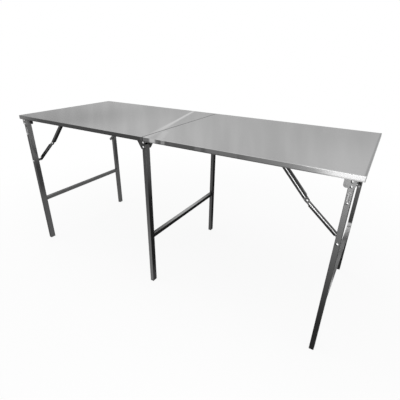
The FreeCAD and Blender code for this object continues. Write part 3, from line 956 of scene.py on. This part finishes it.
# %% [markdown]
# ## Weld beads
# Each crossbar is welded to its legs along its upper and lower edge. A bead is a row of overlapping
# ripples, each a flattened drop that the welder laid over the one before. A smooth swept cord would
# look glued, so a resampled line places drops, and a seeded size keeps them from looking stamped.

# %% Dots along lines
size_spread = (0.85, 1.15)


def line_mesh(name, ends):
    """A mesh of separate straight lines, from a list of their ends two by two."""
    return point_mesh(name, ends, [(i, i + 1) for i in range(0, len(ends), 2)])


def dots_along(wire, lines, pitch):
    """Points along the lines of a mesh, a pitch apart."""
    curve = wire.add("GeometryNodeMeshToCurve", None, {"Mesh": lines})
    sockets = {"Curve": curve, "Length": pitch}
    return wire.add("GeometryNodeResampleCurve", {"mode": "LENGTH"}, sockets)


def uneven_size(wire, seed):
    """A seeded size for every point, a little under or over 1."""
    sockets = {2: size_spread[0], 3: size_spread[1], "Seed": seed}
    return wire.add("FunctionNodeRandomValue", {"data_type": "FLOAT"}, sockets, output=1)


print("sizes along a line go from", size_spread[0], "to", size_spread[1])

# %% The tree of a weld bead
ripple_overlap = 0.9


def make_weld_tree():
    """A flattened drop at every dot of the lines."""
    wire, given = start_tree("weld_ripples", {
        "Pitch": "Float", "Bead": "Float", "Seed": "Int", "Finish": "Material",
    })
    ball = {"Radius": 1.0, "Subdivisions": 2}
    drop = wire.add("GeometryNodeMeshIcoSphere", None, ball, output="Mesh")
    smooth = wire.add("GeometryNodeSetShadeSmooth", None, {"Geometry": drop})
    girth = uneven_size(wire, given["Seed"]) * given["Bead"]
    ripples = wire.add("GeometryNodeInstanceOnPoints", None, {
        "Points": dots_along(wire, given["Geometry"], given["Pitch"]),
        "Instance": smooth,
        "Scale": vector(wire, given["Pitch"] * ripple_overlap, girth, girth),
    })
    end_tree(wire, ripples, given["Finish"])
    return wire.tree


weld_tree = make_weld_tree()
print("tree:", weld_tree.name, "with", len(weld_tree.nodes), "nodes")

# %% Make the weld beads
weld_pitch = 0.0016
weld_bead_size = 0.0017
weld_end_gap = 0.003


def weld_lines(bar):
    """The two end points of each of the four welded edges of a crossbar."""
    low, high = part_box(bar)
    for y in (low.y, high.y):
        for z in (low.z, high.z):
            for x in (low.x + weld_end_gap, high.x - weld_end_gap):
                yield x, y, z


for seed, bar in enumerate(("left_crossbar", "centre_crossbar", "right_crossbar")):
    lines = line_mesh(bar + "_lines", list(weld_lines(bar)))
    piece = grow(bar + "_welds", lines, weld_tree,
                 Pitch=weld_pitch, Bead=weld_bead_size, Seed=seed, Finish=weld_bead)
    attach(piece, body_of[bar])
    print(piece.name, "has", len(piece.data.polygons), "faces")

# %% [markdown]
# ## Lips of the pressed oblongs
# The press that dents each end leg pushes up a thin lip round the oblong. The lip follows a path,
# so a tree sweeps a small round section along the oblong's outline. Its place is read from the
# leg's own size, and the outer face of every end leg gets one.

# %% The tree of a lip
arc_steps = 12


def make_lip_tree():
    """A round section swept along the lines of a mesh."""
    wire, given = start_tree("pressed_lips", {
        "Radius": "Float", "Sides": "Int", "Finish": "Material",
    })
    path = wire.add("GeometryNodeMeshToCurve", None, {"Mesh": given["Geometry"]})
    section = wire.add("GeometryNodeCurvePrimitiveCircle", {"mode": "RADIUS"},
                       {"Resolution": given["Sides"], "Radius": given["Radius"]})
    swept = wire.add("GeometryNodeCurveToMesh", None, {"Curve": path, "Profile Curve": section})
    smooth = wire.add("GeometryNodeSetShadeSmooth", None, {"Geometry": swept})
    end_tree(wire, smooth, given["Finish"])
    return wire.tree


def oblong_outline(x, y):
    """Points round an upright oblong on a leg's outer face."""
    for z, start in ((press_middle + press_reach, 0.0), (press_middle - press_reach, math.pi)):
        for step in range(arc_steps + 1):
            angle = start + math.pi * step / arc_steps
            yield x + press_half * math.cos(angle), y, z + press_half * math.sin(angle)


lip_tree = make_lip_tree()
print("tree:", lip_tree.name, "with", len(lip_tree.nodes), "nodes")

# %% Make the lips
lip_radius = 0.001
lip_sides = 8
for side in ("left", "right"):
    points, pairs = [], []
    for leg in (side + "_leg_near", side + "_leg_far"):
        low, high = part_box(leg)
        outer_face = low.y if leg.endswith("near") else high.y
        outline = list(oblong_outline((low.x + high.x) / 2, outer_face))
        first, count = len(points), len(outline)
        points += outline
        pairs += [(first + i, first + (i + 1) % count) for i in range(count)]
    piece = grow(side + "_leg_lips", point_mesh(side + "_lip_paths", points, pairs), lip_tree,
                 Radius=lip_radius, Sides=lip_sides, Finish=bright_rivet)
    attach(piece, body_of[side + "_leg_near"])
    print(piece.name, "has", len(piece.data.polygons), "faces")

# %% [markdown]
# ## Buttons in the oblongs
# A round button covers the lower end of each oblong. It is a short rivet, so the rivet tree makes
# it too, with its head on the face of the leg and a stem that ends inside the wall of the tube.

# %% Make the buttons
button_radius = 0.0038
button_overhang = 0.0011
button_height = 0.0022
button_stem = 0.0013
button_drop = 0.0025
for side in ("left", "right"):
    near_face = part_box(side + "_leg_near")[0].y
    far_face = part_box(side + "_leg_far")[1].y
    x, z = middle_of(side + "_leg_near").x, press_middle - press_reach - button_drop
    mesh = point_mesh(side + "_button_points", [(x, near_face, z), (x, far_face, z)],
                      shank=[button_radius] * 2, stem=[button_stem] * 2, facing=[-1.0, 1.0])
    piece = grow(side + "_leg_buttons", mesh, rivet_tree,
                 Overhang=button_overhang, Head_height=button_height,
                 Segments=head_sides, Rings=head_rings, Finish=bright_rivet)
    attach(piece, body_of[side + "_leg_near"])
    print(piece.name, "has", len(piece.data.polygons), "faces")

# %% [markdown]
# ## Spot welds
# The ribs are spot-welded to the panels through their flanges. A welder sets the spots by eye along
# a line, so the tree places flat domes along each flange, in uneven sizes. They are only seen when
# the table is turned over, but they tell how it is held together.

# %% The tree of the spot welds
spot_sides = 14
spot_rings = 6


def make_spot_tree():
    """A flat dome, upside down, at every dot of the lines."""
    wire, given = start_tree("spot_welds", {
        "Pitch": "Float", "Radius": "Float", "Height": "Float", "Seed": "Int", "Finish": "Material",
    })
    girth = uneven_size(wire, given["Seed"]) * given["Radius"]
    domes = wire.add("GeometryNodeInstanceOnPoints", None, {
        "Points": dots_along(wire, given["Geometry"], given["Pitch"]),
        "Instance": unit_dome(wire, spot_sides, spot_rings),
        "Rotation": (math.pi, 0.0, 0.0),
        "Scale": vector(wire, girth, girth, given["Height"]),
    })
    end_tree(wire, domes, given["Finish"])
    return wire.tree


spot_tree = make_spot_tree()
print("tree:", spot_tree.name, "with", len(spot_tree.nodes), "nodes")

# %% Make the spot welds
rib_half = 0.027
flange_middle = 0.021
flange_drop = 0.0024
spot_end_gap = 0.02
spot_pitch = 0.045
spot_radius = 0.0032
spot_height = 0.0004


def flange_lines(ribs):
    """The two end points of the middle line of every rib flange."""
    low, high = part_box(ribs)
    first, last = low.x + rib_half, high.x - rib_half
    for middle in (first, (first + last) / 2, last):
        for aside in (-flange_middle, flange_middle):
            for y in (low.y + spot_end_gap, high.y - spot_end_gap):
                yield middle + aside, y, top_height - flange_drop


for seed, side in enumerate(("left", "right")):
    lines = line_mesh(side + "_flange_lines", list(flange_lines(side + "_ribs")))
    piece = grow(side + "_spot_welds", lines, spot_tree, Pitch=spot_pitch, Radius=spot_radius,
                 Height=spot_height, Seed=seed, Finish=weld_bead)
    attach(piece, body_of[side + "_ribs"])
    print(piece.name, "has", len(piece.data.polygons), "faces")

# %% [markdown]
# ## The studio
# The table stands on a plain white sweep under soft light. More light would whiten the floor, but
# also the table. So the floor is white only to the camera and in reflections, and part of that
# white is real light on it, which keeps a soft shadow under the table.

# %% The floor
floor_half = 14.0
floor_far = (1.0, 2.4)
floor_grey = 0.95
white_shares = (0.9, 1.0)


def seen_rays(wire):
    """Is 1 for what the camera sees, straight or by way of metal or glass."""
    paths = wire.tree.nodes.new("ShaderNodeLightPath").outputs
    straight, glossy, clear = (Wire(wire.tree, paths["Is " + kind + " Ray"])
                               for kind in ("Camera", "Glossy", "Transmission"))
    return wire.math("MAXIMUM", wire.math("MAXIMUM", straight, glossy), clear)


def make_floor_finish():
    material, wire, shader, spot = start_finish("white_floor")
    x, y, _ = axes(spot)
    far = x.math("SQRT", x * x + y * y).ramp(*floor_far)
    matt = wire.add("ShaderNodeBsdfDiffuse", None, {"Color": grey(floor_grey)})
    white = wire.add("ShaderNodeEmission", None, {"Color": grey(1.0), "Strength": 1.0})
    share = seen_rays(wire) * between(far, *white_shares)
    both = wire.add("ShaderNodeMixShader", None, {0: share, 1: matt, 2: white})
    wire.tree.nodes.remove(shader)
    wire.feed(wire.tree.nodes["Material Output"].inputs["Surface"], both)
    return material


floor_mesh = bpy.data.meshes.new("floor")
floor_corners = [(-floor_half, -floor_half), (floor_half, -floor_half),
                 (floor_half, floor_half), (-floor_half, floor_half)]
floor_mesh.from_pydata([(x, y, cad_low.z) for x, y in floor_corners], [], [(0, 1, 2, 3)])
floor_mesh.materials.append(make_floor_finish())
floor = bpy.data.objects.new("floor", floor_mesh)
bpy.context.scene.collection.objects.link(floor)
print("the floor is", 2 * floor_half, "m wide")

# %% The surroundings
ambient = 0.55
world = bpy.data.worlds.new("white_surroundings")
world.use_nodes = True
bpy.context.scene.world = world
sky = Wire(world.node_tree)
backdrop = world.node_tree.nodes["Background"]
backdrop.inputs["Color"].default_value = grey(1.0)
sky.feed(backdrop.inputs["Strength"], between(seen_rays(sky), ambient, 1.0))
print("the surroundings light the table with", ambient, "of white")

# %% [markdown]
# ## Lamps
# A broad softbox hangs over the table, large enough to leave no hard glare on the top. A smaller
# one stands low in front of the right end and gives the folded rim, the bracket and the head of the
# near leg their bright ends.

# %% Softboxes
def add_softbox(name, place, target, width, height, power):
    """A rectangular lamp that faces a target."""
    light = bpy.data.lights.new(name, "AREA")
    light.shape = "RECTANGLE"
    light.size, light.size_y = width, height
    light.energy = power
    lamp = bpy.data.objects.new(name, light)
    lamp.location = place
    lamp.rotation_euler = (Vector(target) - Vector(place)).to_track_quat("-Z", "Y").to_euler()
    lamp.visible_camera = False
    bpy.context.scene.collection.objects.link(lamp)
    return lamp


lamps = (
    add_softbox("overhead", (-0.4, -0.6, 2.9), (0.0, 0.0, 0.8),
                width=4.8, height=3.6, power=45.0),
    add_softbox("low_front", (0.78, -1.55, 0.42), (0.82, 0.0, 0.55),
                width=0.28, height=0.45, power=3.2),
)
print("lamps:", *(lamp.name for lamp in lamps))

# %% [markdown]
# ## Camera
# The camera stands where the photograph's did: a step in front of the right end, a little above the
# top. Its place, turn and lens come from fitting the top's corners, the seam and the feet. The fit
# is in pixels, so the lens and the shift are worked out from the width of the picture.

# %% Camera
frame_pixels = 400
focal_pixels = 318.2
centre_pixel = (197.5, 210.1)
film_width = 36.0
camera_place = (0.9223, -1.4240, 1.1454)
camera_turn = (63.272, -0.802, 30.934)

lens = bpy.data.cameras.new("camera")
lens.sensor_width = film_width
lens.lens = film_width * focal_pixels / frame_pixels
lens.shift_x = (frame_pixels / 2 - centre_pixel[0]) / frame_pixels
lens.shift_y = (centre_pixel[1] - frame_pixels / 2) / frame_pixels
camera = bpy.data.objects.new("camera", lens)
camera.location = camera_place
camera.rotation_euler = Euler([math.radians(angle) for angle in camera_turn])
bpy.context.scene.collection.objects.link(camera)
bpy.context.scene.camera = camera
bpy.context.scene.view_settings.view_transform = "Standard"
print("lens", round(lens.lens, 2), "mm")

# %% [markdown]
# ## The box of the CAD model
# Looks must not change the table's size. The box of the CAD model was kept right after loading.
